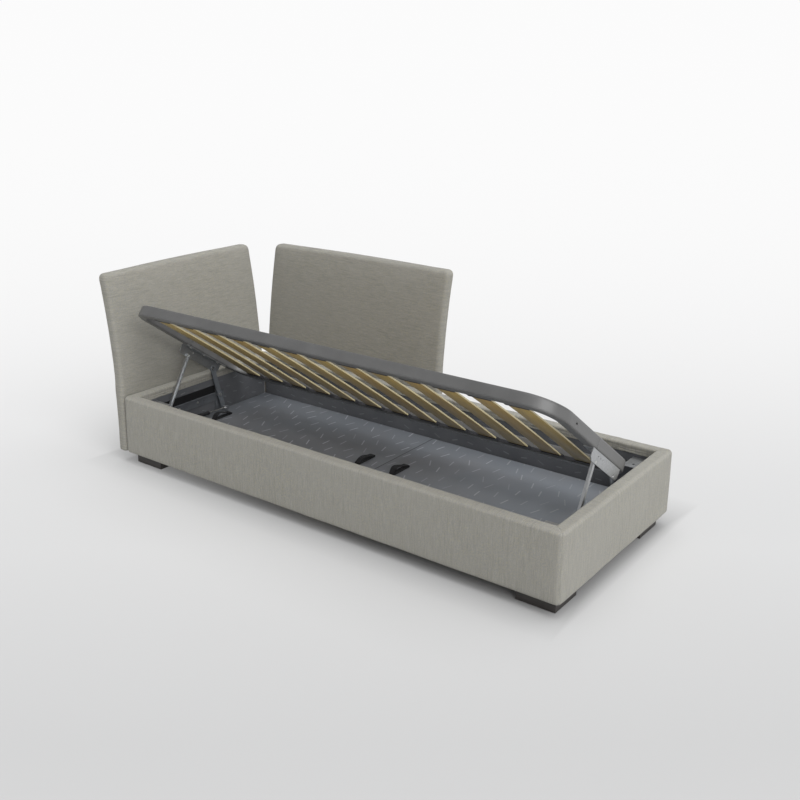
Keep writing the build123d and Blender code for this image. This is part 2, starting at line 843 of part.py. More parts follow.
# Mounting plates under the platform's end tubes
plate_holes = [
    (platform_depth / 2 - plate_start - share * plate_length, -plate_hole_drop)
    for share in plate_hole_shares
]
plate_pivots = {
    arm_pin_hole: (platform_depth / 2 - arm_pivot_depth, -arm_pivot_drop),
    pin_hole: (platform_depth / 2 - link_pivot_depth, -link_pivot_drop),
}
for name, side in SIDES.items():
    with BuildPart() as mount_plate:
        with BuildSketch(platform_section(side * plate_inner)) as blade:
            with Locations((plate_middle, -plate_drop / 2)):
                Rectangle(plate_length, plate_drop)
            low_corners = blade.vertices().group_by(Axis.Y)[0]
            chamfer(low_corners, plate_bevel)
            with Locations(*plate_holes):
                Circle(plate_hole_radius, mode=Mode.SUBTRACT)
            for radius, place in plate_pivots.items():
                with Locations(place):
                    Circle(radius, mode=Mode.SUBTRACT)
        extrude(amount=side * plate_thickness)
        flange_width = plate_outer - platform_length / 2 + tube_width
        block(platform_plane(-plate_flange_gauge), flange_width, plate_length, plate_flange_gauge,
              (side * (plate_outer - flange_width / 2), plate_middle))
        below = platform_plane(-plate_flange_gauge - cut_over)
        block(below, plate_relief_width, plate_relief_length, plate_flange_gauge + 2 * cut_over,
              (side * (plate_inner - plate_relief_width / 2), platform_depth / 2 - plate_relief_depth),
              Mode.SUBTRACT)
        rod(below, screw_radius + screw_clearance, plate_flange_gauge + 2 * cut_over,
            plate_screw_places, Mode.SUBTRACT)
    keep(mount_plate, f"mount_plate_{name}")

with BuildPart() as plate_screws:
    seat = platform_plane(-plate_flange_gauge)
    rod(seat, screw_head_radius, -screw_head_height, plate_screw_places)
    rod(seat, screw_radius, plate_screw_length, plate_screw_places)
keep(plate_screws, "plate_screws")


# Gas springs: a cylinder on the bracket's stud, and a rod that ends at the lever's stud
def gas_plane(side, distance):
    """Plane across the gas spring at a distance from its anchor."""
    y = gas_anchor_y + distance * cos(gas_angle)
    z = gas_anchor_z + distance * sin(gas_angle)
    return Plane(
        origin=(middle_x + side * gas_middle, middle_y + y, z),
        x_dir=(1, 0, 0),
        z_dir=(0, cos(gas_angle), sin(gas_angle)),
    )


for name, side in SIDES.items():
    with BuildPart() as gas_cylinder:
        rod(side_view(side * gas_inner), gas_eye_radius, side * gas_eye_width, [gas_anchor])
        rod(gas_plane(side, 0), gas_neck_radius, gas_tube_start)
        rod(gas_plane(side, gas_tube_start), gas_tube_radius, gas_tube_end - gas_tube_start)
        rod(gas_plane(side, gas_tube_start + gas_cap), gas_tube_bore,
            gas_tube_end - gas_tube_start - 2 * gas_cap, mode=Mode.SUBTRACT)
        rod(gas_plane(side, gas_tube_end - gas_cap), gas_rod_radius + pin_clearance,
            gas_cap + cut_over, mode=Mode.SUBTRACT)
        rod(side_view(side * (gas_inner - cut_over)), gas_stud_radius + pin_clearance,
            side * (gas_eye_width + 2 * cut_over), [gas_anchor], Mode.SUBTRACT)
    keep(gas_cylinder, f"gas_cylinder_{name}")

    with BuildPart() as gas_rod:
        rod(side_view(side * gas_inner), gas_eye_radius, side * gas_eye_width, [lever_tip])
        rod(gas_plane(side, gas_open_length - gas_rod_length), gas_rod_radius, gas_rod_length)
        rod(gas_plane(side, gas_open_length - gas_rod_length), gas_tube_bore - gas_piston_clearance,
            gas_piston_length)
    keep(gas_rod, f"gas_rod_{name}")
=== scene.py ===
import json
import math

import bmesh
import bpy
import numpy as np
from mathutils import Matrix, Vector, noise


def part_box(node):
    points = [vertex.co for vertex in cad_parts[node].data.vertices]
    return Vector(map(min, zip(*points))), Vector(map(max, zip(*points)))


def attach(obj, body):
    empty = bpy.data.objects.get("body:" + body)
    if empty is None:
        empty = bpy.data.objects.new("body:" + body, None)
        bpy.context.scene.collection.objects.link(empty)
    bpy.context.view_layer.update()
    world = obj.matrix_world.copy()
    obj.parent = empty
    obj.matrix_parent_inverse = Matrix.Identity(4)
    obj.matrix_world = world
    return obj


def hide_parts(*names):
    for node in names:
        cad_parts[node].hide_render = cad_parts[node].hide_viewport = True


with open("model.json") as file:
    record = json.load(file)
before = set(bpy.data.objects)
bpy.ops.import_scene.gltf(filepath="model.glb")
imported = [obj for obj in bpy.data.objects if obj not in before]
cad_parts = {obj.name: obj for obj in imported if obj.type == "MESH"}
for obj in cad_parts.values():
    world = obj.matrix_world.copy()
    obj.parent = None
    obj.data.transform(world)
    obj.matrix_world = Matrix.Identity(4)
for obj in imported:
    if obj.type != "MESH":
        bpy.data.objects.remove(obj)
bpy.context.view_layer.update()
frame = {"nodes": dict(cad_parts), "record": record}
nodes = frame["nodes"]
scene = bpy.context.scene

# Sides of the box
LONG_SIDES = ("front", "rear")
SHORT_SIDES = ("left", "right")
HIGH_SIDES = ("rear", "right")
LOOSE_SIDES = ("left", "rear")
LOOP_PLACES = ("middle", "end")

# Sizes in metres. The places of the pieces come from the frame.
# Upholstered box
pad_depth = 0.015
fold_width = 0.030
fold_height = 0.005
board_drop = 0.012
lip_gauge = 0.002
lip_drop = 0.027
loose_lip_drop = 0.036
pleat_depth = 0.0009
pleat_pitch = 0.010
pleat_shift = 3
pleat_start, pleat_full = 0.15, 0.5
top_round = 0.013
lip_round = 0.008
bottom_round = 0.014
corner_round = 0.019
cover_crown = 0.0026
cover_wave = 0.0017
cover_pucker = 0.0006
top_band = 0.012
press_fade = 0.08
seam_depth = 0.0009
seam_reach = 0.0032
seam_pull = 0.01
seam_calm = 0.05
seam_dip_share = 0.8
lip_ripple = 0.0022
ripple_out_share = 0.4
ripple_rise_share = 1.6

# Points of the cover's mesh: across its section, and along the rail from the seam on
cover_step = 0.014
top_step = 0.008
lip_step = 0.0025
cover_cell = 0.016
seam_stations = [0, 0.0012, 0.0026, 0.0045, 0.007, 0.010, 0.014, 0.019, 0.026, 0.036, 0.050]

# Headboards
lean_radius = 3.3
lean_start = 0.12
headboard_depth = 0.052
headboard_rise = 0.006
headboard_corner = 0.026
headboard_edge = 0.017
headboard_hem = 0.005
least_round = 0.002
headboard_gap = 0.0003
headboard_cell = 0.011
headboard_swell = 0.0055
swell_start = 0.005
swell_end = 0.09
headboard_fold = 0.0012
headboard_pucker = 0.0007
pucker_reach = 0.10
pressed_fade = 0.06
groove_depth = 0.0016
groove_reach = 0.003
groove_side = 0.02
groove_top = 0.04
groove_share = 0.9
edge_angles = (18, 36, 54, 72, 90)
fill_frames = 20

# Linings
lining_gauge = 0.0008
lining_gap = 0.0003
lining_ripple = 0.0015
lining_slack_share = 0.35
lining_cell = 0.012
held_columns = 6
held_rows = 4

# Webbing loops
strap_width = 0.028
strap_gauge = 0.0022
strap_bend = 0.0042
strap_lean = 0.007
strap_lift = 0.0001
edge_thinning, edge_power = 0.55, 6
arch_skew, arch_power = 1.5, 1.25
fold_closing = 0.75
flat_steps, bend_steps, arch_steps, width_steps = 12, 6, 24, 8

# Waves per metre of the soft surfaces, and numbers that set the noise of one piece apart from another's
cover_wave_count = 7
cover_pucker_counts = (42, 6)
lip_ripple_count = 11
headboard_fold_counts = (5, 9)
headboard_pucker_counts = (26, 30)
lining_fold_counts = (9, 6, 3)
along_seeds = (31, 77)
side_seed = 13
lip_seeds = (5.0, 3)
headboard_seed = 20
lining_seed = 7

# Materials
noise_low, noise_high = 0.3, 0.7
dash_fade = 0.003
dash_shifts, dash_rises = (0.38, 0.62), (0.36, 0.64)
dash_tilts, dash_strengths = (-0.55, 0.35), (0.35, 1.0)
seam_line, seam_line_edge = 0.0012, 0.0026
side_facing = (0.55, 0.75)
platform_tilt = math.radians(34.65)
black_height = 0.2055
black_fade = 0.001
ply_pitch = 0.0016
rib_pitch = 0.0016
thread_pitch = 0.0011

# Studio floor: how it fades behind and far from the object, and its painted shade, darker in front and with a
# painted shadow close to it
studio_reach = 60
rearward_x, rearward_y = 0.619, 0.785
fade_start, fade_reach, fade_softness = 0.6, 1.9, 3.5
# Painted shade: how far forward the floor starts and ends getting darker, and how dark it gets
front_painted_shade_end, front_painted_shade_start = -1.7, -0.6
front_painted_shade = 0.885
# Painted shadow close to the box: where it begins and ends, how dark it gets, and how fast it fades beside
# the box's ends
painted_shadow_in, painted_shadow_out, painted_shadow_darkness = -0.05, 0.26, 0.70
painted_shadow_side_speed = 7.0

# Backdrop: levels between which its white turns into the grey that lights the object from above
horizon_level, sky_level = 0.05, 0.35

# Tolerances, and the angle from which an edge counts as sharp
tiny = 1e-9
weld_distance = 1e-6
sharp_angle = math.radians(50)


def corners(node):
    """Lowest and highest corner of a CAD node."""
    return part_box(node)


def smooth_step(value, start, end):
    """Share from 0 at start to 1 at end, with soft ends."""
    share = min(1.0, max(0.0, (value - start) / (end - start)))
    return share * share * (3 - 2 * share)


# Shaders
def colour(red, green, blue):
    return (red, green, blue, 1.0)


def scaled(tone, share):
    return colour(*(channel * share for channel in tone[:3]))


class Shader:
    """A node material. Its calls add nodes and give back their output sockets."""

    def __init__(self, name, **constants):
        self.material = bpy.data.materials.new(name)
        self.material.use_nodes = True
        self.tree = self.material.node_tree
        self.surface = self.tree.nodes["Principled BSDF"]
        for socket, value in constants.items():
            self.surface.inputs[socket.replace("_", " ")].default_value = value
        self.place = self.node("ShaderNodeTexCoord").outputs["Object"]

    def fill(self, made, values):
        for socket, value in values.items():
            if isinstance(value, bpy.types.NodeSocket):
                self.tree.links.new(value, made.inputs[socket])
            else:
                made.inputs[socket].default_value = value

    def node(self, kind, inputs=(), **settings):
        made = self.tree.nodes.new(kind)
        for name, value in settings.items():
            setattr(made, name, value)
        self.fill(made, dict(inputs))
        return made

    def set(self, socket, value):
        self.tree.links.new(value, self.surface.inputs[socket])

    def math(self, operation, first, second=0.0):
        return self.node("ShaderNodeMath", {0: first, 1: second}, operation=operation).outputs[0]

    def plus(self, first, second):
        return self.math("ADD", first, second)

    def minus(self, first, second):
        return self.math("SUBTRACT", first, second)

    def times(self, first, second):
        return self.math("MULTIPLY", first, second)

    def axes(self, vector=None):
        split = self.node("ShaderNodeSeparateXYZ", {0: vector or self.place})
        return split.outputs[0], split.outputs[1], split.outputs[2]

    def vector(self, x, y, z=0.0):
        return self.node("ShaderNodeCombineXYZ", {0: x, 1: y, 2: z}).outputs[0]

    def mapped(self, scale, rotation=(0, 0, 0)):
        values = {"Vector": self.place, "Scale": scale, "Rotation": rotation}
        return self.node("ShaderNodeMapping", values).outputs[0]

    def noise(self, vector, scale=1.0, detail=2.0, roughness=0.5, distortion=0.0):
        values = {"Vector": vector, "Scale": scale, "Detail": detail, "Roughness": roughness,
                  "Distortion": distortion}
        return self.node("ShaderNodeTexNoise", values).outputs["Fac"]

    def stripes(self, value, pitch):
        """Even wave from -1 to 1."""
        return self.math("SINE", self.times(value, 2 * math.pi / pitch))

    def spread(self, value, low, high, start=0.0, end=1.0):
        """Number from start to end as value goes from low to high."""
        values = {"Value": value, "From Min": low, "From Max": high, "To Min": start, "To Max": end}
        return self.node("ShaderNodeMapRange", values, clamp=True).outputs[0]

    def mix(self, share, first, second, blend="MIX"):
        made = self.node("ShaderNodeMix", data_type="RGBA", blend_type=blend)
        self.fill(made, {0: share, 6: first, 7: second})
        return made.outputs[2]

    def shades(self, tone, dark, light, value, low=noise_low, high=noise_high):
        """Tone from its dark to its light share as value goes from low to high."""
        return self.mix(self.spread(value, low, high), scaled(tone, dark), scaled(tone, light))

    def tinted(self, base, tint, share, value, low, high):
        """Base under a tint that comes up to share as value goes from low to high."""
        return self.mix(self.spread(value, low, high, 0.0, share), base, tint)

    def toned(self, base, share):
        """Base made lighter or darker."""
        return self.mix(1.0, base, colour(share, share, share), "MULTIPLY")

    def bump(self, height, distance, normal=None):
        values = {"Height": height, "Distance": distance}
        if normal:
            values["Normal"] = normal
        return self.node("ShaderNodeBump", values).outputs[0]

    def finish(self, base, value, smooth, rough, normal=None):
        """Joins the colour, a roughness that follows value, and the normal to the surface."""
        self.set("Base Color", base)
        self.set("Roughness", self.spread(value, noise_low, noise_high, smooth, rough))
        if normal:
            self.set("Normal", normal)
        return self.material


def woven(name, tone, across, along, slub_count=1.0):
    """Slubbed upholstery. across and along turn a shader into the coordinates over and along the slubs."""
    shader = Shader(name, Sheen_Weight=0.10, Sheen_Roughness=0.5, Specular_IOR_Level=0.2)
    over, lengthwise = across(shader), along(shader)

    def streak(over_count, length_count, seed):
        place = shader.vector(shader.times(over, over_count),
                              shader.times(lengthwise, length_count * slub_count), seed)
        return shader.noise(place, detail=3.0, roughness=0.6)

    slub = streak(430, 26, 0.0)
    base = shader.shades(tone, 0.85, 1.14, slub, 0.32, 0.68)
    base = shader.tinted(base, scaled(tone, 0.68), 0.62, streak(210, 12, 3.7), 0.50, 0.68)
    base = shader.tinted(base, scaled(tone, 1.32), 0.52, streak(190, 15, 8.1), 0.50, 0.70)
    base = shader.tinted(base, scaled(tone, 0.78), 0.22, streak(36, 480, 5.3), 0.48, 0.72)
    yarn = shader.noise(shader.place, scale=240, detail=2.0, roughness=0.7)
    straw = colour(tone[0] * 1.20, tone[1] * 1.17, tone[2] * 0.92)
    slate = colour(tone[0] * 0.79, tone[1] * 0.81, tone[2] * 0.85)
    base = shader.tinted(base, straw, 0.72, yarn, 0.50, 0.68)
    base = shader.mix(shader.spread(yarn, 0.32, 0.50, 0.72, 0.0), base, slate)
    patch = shader.noise(shader.place, scale=2.3, detail=2.0)
    base = shader.tinted(base, scaled(tone, 1.06), 0.30, patch, 0.40, 0.62)
    return shader.finish(base, slub, 0.80, 0.95, shader.bump(slub, 0.00045))


def axis_of(index):
    return lambda shader: shader.axes()[index]


def over_top(index, sign):
    """Height, carried on over the rounded top by the distance inwards."""
    def along(shader):
        axes = shader.axes()
        return shader.plus(axes[2], shader.times(axes[index], sign))

    return along


def dashes(shader, first, second, pitch, row, length, width):
    """Mask of plain short dashes, one in each cell of two coordinates, each a little out of line."""
    line = shader.math("DIVIDE", second, row)
    number = shader.math("FLOOR", line)
    stagger = shader.times(shader.math("MODULO", number, 2.0), 0.5)
    column = shader.plus(shader.math("DIVIDE", first, pitch), stagger)
    cell = shader.vector(shader.math("FLOOR", column), number)
    chance = shader.node("ShaderNodeTexWhiteNoise", {"Vector": cell}, noise_dimensions="2D")
    shift, rise, turn = shader.axes(chance.outputs["Color"])
    along = shader.minus(shader.math("FRACT", column), shader.spread(shift, 0, 1, *dash_shifts))
    beside = shader.minus(shader.math("FRACT", line), shader.spread(rise, 0, 1, *dash_rises))
    along, beside = shader.times(along, pitch), shader.times(beside, row)
    tilt = shader.spread(turn, 0, 1, *dash_tilts)
    beside = shader.minus(beside, shader.times(along, tilt))
    from_middle, from_line = shader.math("ABSOLUTE", along), shader.math("ABSOLUTE", beside)
    in_length = shader.spread(from_middle, length / 2, length / 2 + dash_fade, 1.0, 0.0)
    in_width = shader.spread(from_line, width / 2, width / 2 + dash_fade / 2, 1.0, 0.0)
    strength = shader.spread(chance.outputs["Value"], 0, 1, *dash_strengths)
    return shader.times(shader.times(in_length, in_width), strength)


def lining_cloth(name, along_axis):
    """Dark non-woven cloth with pale dashes."""
    shader = Shader(name, Sheen_Weight=0.2, Sheen_Roughness=0.5, Specular_IOR_Level=0.3)
    axes = shader.axes()
    tone = colour(0.074, 0.077, 0.084)
    mottle = shader.noise(shader.place, scale=6.0, detail=4.0)
    fibre = shader.noise(shader.mapped((900, 900, 900)), detail=1.0)
    base = shader.shades(tone, 0.78, 1.30, mottle)
    base = shader.tinted(base, scaled(tone, 1.7), 0.3, fibre, 0.4, 0.7)
    mark = dashes(shader, axes[along_axis], axes[2], pitch=0.085, row=0.038, length=0.024, width=0.0030)
    base = shader.mix(shader.times(mark, 0.70), base, scaled(tone, 2.6))
    return shader.finish(base, mottle, 0.62, 0.78, shader.bump(fibre, 0.00012))


def floor_board():
    """Blue-grey laminate with pale dashes, painted shade and light that make it darker to the left and
    lighter to the right, and a dark line at the panels' seam.
    """
    shader = Shader("floor_laminate", Specular_IOR_Level=0.42)
    x, y = shader.axes()[:2]
    tone, blue_tone = colour(0.180, 0.185, 0.197), colour(0.180, 0.201, 0.226)
    cloud = shader.noise(shader.place, scale=3.2, detail=4.0, roughness=0.6)
    grain = shader.noise(shader.mapped((700, 900, 700)), detail=2.0)
    base = shader.shades(tone, 0.88, 1.12, cloud)
    base = shader.tinted(base, scaled(tone, 1.3), 0.25, grain, 0.35, 0.7)
    blue = shader.noise(shader.place, scale=2.1, detail=3.0, roughness=0.6)
    blue = shader.plus(blue, shader.times(y, 0.35))
    base = shader.tinted(base, blue_tone, 0.6, blue, 0.40, 0.64)
    # Painted shade and light: the laminate is darkened towards the left and lightened towards the right
    base = shader.mix(shader.spread(x, 0.1, 0.9), shader.toned(base, 0.72), shader.toned(base, 1.22))
    mark = dashes(shader, y, x, pitch=0.100, row=0.062, length=0.044, width=0.0036)
    base = shader.mix(shader.times(mark, 0.85), base, scaled(tone, 2.0))
    from_seam = shader.math("ABSOLUTE", shader.minus(x, corners("floor_panel_left")[1].x))
    line = shader.spread(from_seam, seam_line, seam_line_edge, 0.85, 0.0)
    base = shader.mix(line, base, scaled(tone, 0.16))
    return shader.finish(base, cloud, 0.42, 0.58, shader.bump(grain, 0.00010))


def steel(name, tone, roughness, spangle):
    """Bare or zinc-coated sheet with a crystalline mottle."""
    shader = Shader(name, Metallic=1.0)
    cells = shader.node("ShaderNodeTexVoronoi", {"Vector": shader.place, "Scale": spangle, "Randomness": 1.0})
    shade, gloss = shader.axes(cells.outputs["Color"])[:2]
    cloud = shader.noise(shader.place, scale=14, detail=4.0, roughness=0.65)
    scratch = shader.noise(shader.mapped((60, 900, 900)), detail=2.0)
    base = shader.shades(tone, 0.92, 1.07, shade, 0.0, 1.0)
    base = shader.tinted(base, scaled(tone, 0.74), 0.25, cloud, 0.40, 0.75)
    shader.set("Base Color", base)
    rough = shader.plus(shader.spread(gloss, 0, 1, -0.05, 0.05),
                        shader.spread(cloud, noise_low, noise_high, roughness - 0.05, roughness + 0.10))
    shader.set("Roughness", rough)
    shader.set("Normal", shader.bump(scratch, 0.00003))
    return shader.material


def paint(name, tone, roughness, grain=0.00006, wear=0.10, rounding=0.0):
    """Powder coat with a fine orange peel and slightly rubbed patches."""
    shader = Shader(name, Specular_IOR_Level=0.5)
    peel = shader.noise(shader.place, scale=900, detail=2.0)
    cloud = shader.noise(shader.place, scale=9, detail=5.0, roughness=0.6)
    base = shader.shades(tone, 1 - wear, 1 + wear, cloud)
    rounded = shader.node("ShaderNodeBevel", {"Radius": rounding}, samples=6).outputs[0] if rounding else None
    return shader.finish(base, cloud, roughness - 0.06, roughness + 0.08, shader.bump(peel, grain, rounded))


def bracket_steel():
    """Zinc-grey bar whose colour turns near-black above black_height."""
    shader = Shader("bracket_steel", Specular_IOR_Level=0.5, Metallic=0.35)
    height = shader.axes()[2]
    cloud = shader.noise(shader.place, scale=12, detail=5.0, roughness=0.6)
    bar = shader.shades(colour(0.125, 0.133, 0.146), 0.75, 1.25, cloud)
    black = shader.spread(height, black_height, black_height + black_fade)
    base = shader.mix(black, bar, colour(0.012, 0.012, 0.013))
    return shader.finish(base, cloud, 0.36, 0.52)


def beech():
    """Varnished laminated slats, with the grain down the tilted platform and pale layers on the cut sides."""
    shader = Shader("slat_wood", Coat_Weight=0.25, Coat_Roughness=0.25, Specular_IOR_Level=0.45)
    x, y, z = shader.axes(shader.mapped((1, 1, 1), (platform_tilt, 0, 0)))
    grain_place = shader.vector(shader.times(x, 210), shader.times(y, 6), shader.times(z, 20))
    grain = shader.noise(grain_place, detail=5.0, roughness=0.65, distortion=0.4)
    pore = shader.noise(shader.vector(shader.times(x, 900), shader.times(y, 45)), detail=2.0)
    slat = shader.noise(shader.vector(shader.times(x, 7.1), 0.0), detail=0.0)
    tone, red_tone = colour(0.375, 0.268, 0.085), colour(0.34, 0.19, 0.065)
    base = shader.shades(tone, 0.76, 1.22, grain)
    base = shader.tinted(base, scaled(tone, 0.52), 0.5, pore, 0.50, 0.72)
    base = shader.tinted(base, red_tone, 0.28, slat, 0.35, 0.65)
    ply = shader.stripes(z, ply_pitch)
    edge_tone = shader.mix(shader.spread(ply, -1, 1), colour(0.40, 0.34, 0.19), colour(0.56, 0.50, 0.32))
    facing = shader.axes(shader.node("ShaderNodeNewGeometry").outputs["True Normal"])[0]
    side = shader.spread(shader.math("ABSOLUTE", facing), *side_facing)
    base = shader.mix(side, base, edge_tone)
    return shader.finish(base, grain, 0.34, 0.50, shader.bump(grain, 0.00012))


def stained_wood():
    """Almost black wood with its grain along the box."""
    shader = Shader("foot_wood", Coat_Weight=0.15, Coat_Roughness=0.35)
    grain = shader.noise(shader.mapped((9, 160, 160)), detail=6.0, roughness=0.62, distortion=0.5)
    base = shader.shades(colour(0.022, 0.019, 0.017), 0.62, 1.9, grain, 0.35, 0.68)
    return shader.finish(base, grain, 0.36, 0.55, shader.bump(grain, 0.00022))


def raw_board():
    """Plain chipboard."""
    shader = Shader("board_wood")
    chip = shader.noise(shader.mapped((260, 260, 260)), detail=4.0, roughness=0.7)
    base = shader.shades(colour(0.46, 0.35, 0.22), 0.66, 1.25, chip, 0.36, 0.64)
    return shader.finish(base, chip, 0.7, 0.9, shader.bump(chip, 0.0003))


def moulded_plastic():
    """Dark plastic with a fine grain."""
    shader = Shader("holder_plastic", Specular_IOR_Level=0.3)
    cloud = shader.noise(shader.place, scale=11, detail=4.0)
    grain = shader.noise(shader.place, scale=800, detail=1.0)
    base = shader.shades(colour(0.030, 0.030, 0.033), 0.86, 1.14, cloud)
    return shader.finish(base, cloud, 0.42, 0.55, shader.bump(grain, 0.00005))


def webbing_cloth():
    """Black webbing with ribs across its width."""
    shader = Shader("webbing", Sheen_Weight=0.04, Specular_IOR_Level=0.2)
    x, y = shader.axes()[:2]
    weave = shader.times(shader.stripes(y, rib_pitch), shader.stripes(x, thread_pitch))
    fuzz = shader.noise(shader.place, scale=600, detail=2.0)
    tone = colour(0.009, 0.009, 0.010)
    base = shader.shades(tone, 0.5, 1.9, weave, -1, 1)
    base = shader.tinted(base, scaled(tone, 2.8), 0.4, fuzz, 0.45, 0.7)
    return shader.finish(base, fuzz, 0.62, 0.82, shader.bump(weave, 0.00025))


def studio_floor():
    """Pale floor with painted shade, darker in front and with a painted shadow close to the box, that fades
    evenly into the backdrop's white away from it.
    """
    shader = Shader("studio_floor", Specular_IOR_Level=0.0)
    x, y = shader.axes()[:2]
    reach = shader.math("SQRT", shader.plus(shader.times(x, x), shader.times(y, y)))
    rearward = shader.minus(shader.times(y, rearward_y), shader.times(x, rearward_x))
    beyond = shader.math("MAXIMUM", shader.plus(rearward, fade_start), shader.minus(reach, fade_reach))
    beyond = shader.math("MAXIMUM", beyond, 0.0)
    square = shader.times(beyond, beyond)
    far = shader.math("DIVIDE", square, shader.plus(square, fade_softness))
    # Painted shadow: the floor is darkened close to the box, and fades out quickly beside its ends
    beside = shader.times(shader.minus(shader.math("ABSOLUTE", x), box_high.x), painted_shadow_side_speed)
    before = shader.minus(shader.math("ABSOLUTE", y), box_high.y)
    outside = shader.math("MAXIMUM", beside, before)
    black = colour(0, 0, 0)
    # Painted shade: the floor's tone is darker towards the front
    painted_light_share = shader.spread(rearward, front_painted_shade_end, front_painted_shade_start)
    tone = shader.mix(painted_light_share, scaled(floor_tone, front_painted_shade), floor_tone)
    near = shader.mix(shader.spread(outside, painted_shadow_in, painted_shadow_out, painted_shadow_darkness, 1.0), black, tone)
    shader.set("Base Color", shader.mix(far, near, black))
    shader.set("Emission Color", shader.mix(far, black, backdrop))
    shader.surface.inputs["Emission Strength"].default_value = 1.0
    shader.surface.inputs["Roughness"].default_value = 0.9
    return shader.material


floor_tone = colour(0.565, 0.565, 0.565)
backdrop = colour(0.968, 0.967, 0.968)
sky = colour(0.36, 0.364, 0.372)
rail_tone = colour(0.269, 0.262, 0.238)
headboard_tone = colour(0.254, 0.247, 0.224)
headboard_slubs = 1.2
finishes = {
    "front_cover": woven("rail_fabric_front", rail_tone, axis_of(0), over_top(1, 1)),
    "rear_cover": woven("rail_fabric_rear", rail_tone, axis_of(0), over_top(1, -1)),
    "left_cover": woven("rail_fabric_left", rail_tone, axis_of(1), over_top(0, 1)),
    "right_cover": woven("rail_fabric_right", rail_tone, axis_of(1), over_top(0, -1)),
    "headboard_end_cover": woven("headboard_fabric_end", headboard_tone, axis_of(2), over_top(1, 1),
                                 headboard_slubs),
    "headboard_side_cover": woven("headboard_fabric_side", headboard_tone, axis_of(2), over_top(0, 1),
                                  headboard_slubs),
    "lining_long": lining_cloth("lining_fabric_long", 0),
    "lining_end": lining_cloth("lining_fabric_end", 1),
    "floor_laminate": floor_board(),
    "board_wood": raw_board(),
    "foot_wood": stained_wood(),
    "frame_paint": paint("frame_paint", colour(0.102, 0.102, 0.101), 0.34, rounding=0.009),
    "dark_steel": paint("dark_steel", colour(0.120, 0.130, 0.144), 0.34, wear=0.28),
    "bracket": bracket_steel(),
    "galvanised_steel": steel("galvanised_steel", colour(0.47, 0.48, 0.49), 0.40, spangle=160),
    "zinc_fasteners": steel("zinc_fasteners", colour(0.66, 0.66, 0.63), 0.28, spangle=500),
    "slat_wood": beech(),
    "holder_plastic": moulded_plastic(),
    "webbing": webbing_cloth(),
    "black_paint": paint("black_paint", colour(0.016, 0.016, 0.018), 0.25, grain=0.00003),
    "chromed_rod": steel("chromed_rod", colour(0.75, 0.75, 0.76), 0.12, spangle=300),
}


# Mesh helpers
def finish_mesh(name, points, faces, material, body):
    """Welded, smooth object that rides on its body."""
    mesh = bpy.data.meshes.new(name)
    mesh.from_pydata(points, [], faces)
    edit = bmesh.new()
    edit.from_mesh(mesh)
    bmesh.ops.remove_doubles(edit, verts=edit.verts, dist=weld_distance)
    bmesh.ops.recalc_face_normals(edit, faces=edit.faces)
    edit.to_mesh(mesh)
    edit.free()
    for face in mesh.polygons:
        face.use_smooth = True
    piece = bpy.data.objects.new(name, mesh)
    scene.collection.objects.link(piece)
    piece.data.materials.append(material)
    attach(piece, body)
    return piece


def subdivide(piece):
    modifier = piece.modifiers.new("soft", "SUBSURF")
    modifier.levels = 1
    modifier.render_levels = 1


def rim_edges(columns, rows):
    """Pairs of neighbouring places round the edge of a grid, in order."""
    rim = ([(i, 0) for i in range(columns)] + [(columns, j) for j in range(rows)]
           + [(i, rows) for i in range(columns, 0, -1)] + [(0, j) for j in range(rows, 0, -1)])
    return zip(rim, rim[1:] + rim[:1])


def axes_of(side):
    """Axis along a side of the box, axis across it, and the sign of the way out."""
    along_axis = 0 if side in LONG_SIDES else 1
    return along_axis, 1 - along_axis, 1 if side in HIGH_SIDES else -1


def placed(along_axis, along, across, height):
    """Point from its places on the axis along a side, on the axis across it, and in height."""
    return (along, across, height) if along_axis == 0 else (across, along, height)


def round_corner(first, second, radius):
    """Distances in from two faces, moved so that the square corner between them is round."""
    if first >= radius or second >= radius:
        return first, second
    a, b = 1 - first / radius, 1 - second / radius
    share = max(a, b) / max(math.hypot(a, b), tiny)
    return radius * (1 - a * share), radius * (1 - b * share)


def arc(centre, radius, start, end, steps=5):
    """Points of an arc in a section, between two angles in degrees."""
    angles = [math.radians(start + (end - start) * step / steps) for step in range(steps + 1)]
    return [(centre[0] + radius * math.cos(angle), centre[1] + radius * math.sin(angle)) for angle in angles]


def run(start, end, step=cover_step):
    """Points between two section points, without the ends."""
    length = math.hypot(end[0] - start[0], end[1] - start[1])
    count = max(1, round(length / step))
    return [(start[0] + (end[0] - start[0]) * n / count, start[1] + (end[1] - start[1]) * n / count)
            for n in range(1, count)]


# Box
box_low = Vector((corners("left_cover")[0].x, corners("front_cover")[0].y, corners("front_cover")[0].z))
box_high = Vector((corners("right_cover")[1].x, corners("rear_cover")[1].y, corners("front_cover")[1].z))
box_middle = (box_low + box_high) / 2
lip_depth = corners("front_cover")[1].y - box_low.y
headboard_end = corners("headboard_side_cover")[1].x


